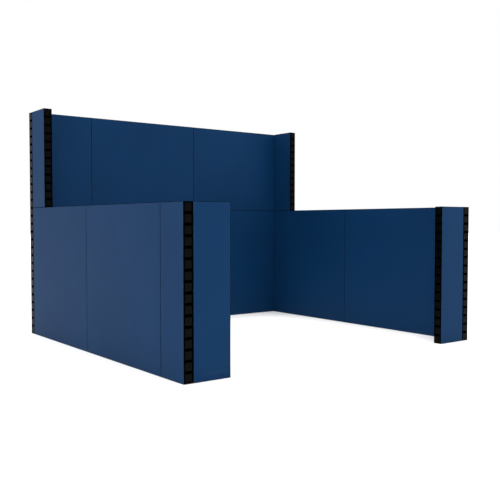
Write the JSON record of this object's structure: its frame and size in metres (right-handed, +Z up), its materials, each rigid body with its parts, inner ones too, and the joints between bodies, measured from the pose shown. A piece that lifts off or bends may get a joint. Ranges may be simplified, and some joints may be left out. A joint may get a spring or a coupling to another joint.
{
  "type": "partition wall",
  "caption": "Free-standing U-shaped booth wall of interlocking plastic panels in two tiers, open at the front, with ladder-like lug columns on its free edges.",
  "frame": {"origin": "on the floor, under the centre of the footprint", "axes": "+X along the back wall, +Y from the open front to the back wall, +Z up"},
  "size_m": [3.048, 2.8194, 2.1336],
  "materials": {
    "blue_skin": "semi-matte navy blue sheet with a fine grain",
    "black_frame": "moulded black, lightly textured",
    "grey_lug": "moulded dark grey, lightly textured",
    "core": "extruded, unfinished",
    "key": "moulded, glass filled",
    "steel_screw": "zinc plated",
    "dowel": "moulded, smooth"
  },
  "bodies": {
    "root": {"lower_back_left_skins": "blue_skin", "lower_back_left_frame": "black_frame", "lower_back_left_core": "core", "lower_back_middle_skins": "blue_skin", "lower_back_middle_frame": "black_frame", "lower_back_middle_core": "core", "lower_back_right_skins": "blue_skin", "lower_back_right_frame": "black_frame", "lower_back_right_core": "core", "lower_left_rear_skins": "blue_skin", "lower_left_rear_frame": "black_frame", "lower_left_rear_core": "core", "lower_left_middle_skins": "blue_skin", "lower_left_middle_frame": "black_frame", "lower_left_middle_core": "core", "lower_left_end_skins": "blue_skin", "lower_left_end_frame": "black_frame", "lower_left_end_core": "core", "lower_right_rear_skins": "blue_skin", "lower_right_rear_frame": "black_frame", "lower_right_rear_core": "core", "lower_right_middle_skins": "blue_skin", "lower_right_middle_frame": "black_frame", "lower_right_middle_core": "core", "lower_right_end_skins": "blue_skin", "lower_right_end_frame": "black_frame", "lower_right_end_core": "core", "front_left_return_skins": "blue_skin", "front_left_return_frame": "black_frame", "front_left_return_core": "core", "front_right_return_skins": "blue_skin", "front_right_return_frame": "black_frame", "front_right_return_core": "core", "upper_back_left_skins": "blue_skin", "upper_back_left_frame": "black_frame", "upper_back_left_core": "core", "upper_back_middle_skins": "blue_skin", "upper_back_middle_frame": "black_frame", "upper_back_middle_core": "core", "upper_back_right_skins": "blue_skin", "upper_back_right_frame": "black_frame", "upper_back_right_core": "core", "upper_left_return_skins": "blue_skin", "upper_left_return_frame": "black_frame", "upper_left_return_core": "core", "upper_right_return_skins": "blue_skin", "upper_right_return_frame": "black_frame", "upper_right_return_core": "core", "lower_back_lugs": "grey_lug", "lower_left_lugs": "grey_lug", "lower_right_lugs": "grey_lug", "front_return_lugs": "grey_lug", "upper_back_lugs": "grey_lug", "upper_return_lugs": "grey_lug", "lower_inline_keys": "key", "upper_inline_keys": "key", "corner_keys": "key", "corner_key_screws": "steel_screw", "tier_dowels": "dowel"}
  },
  "joints": []
}
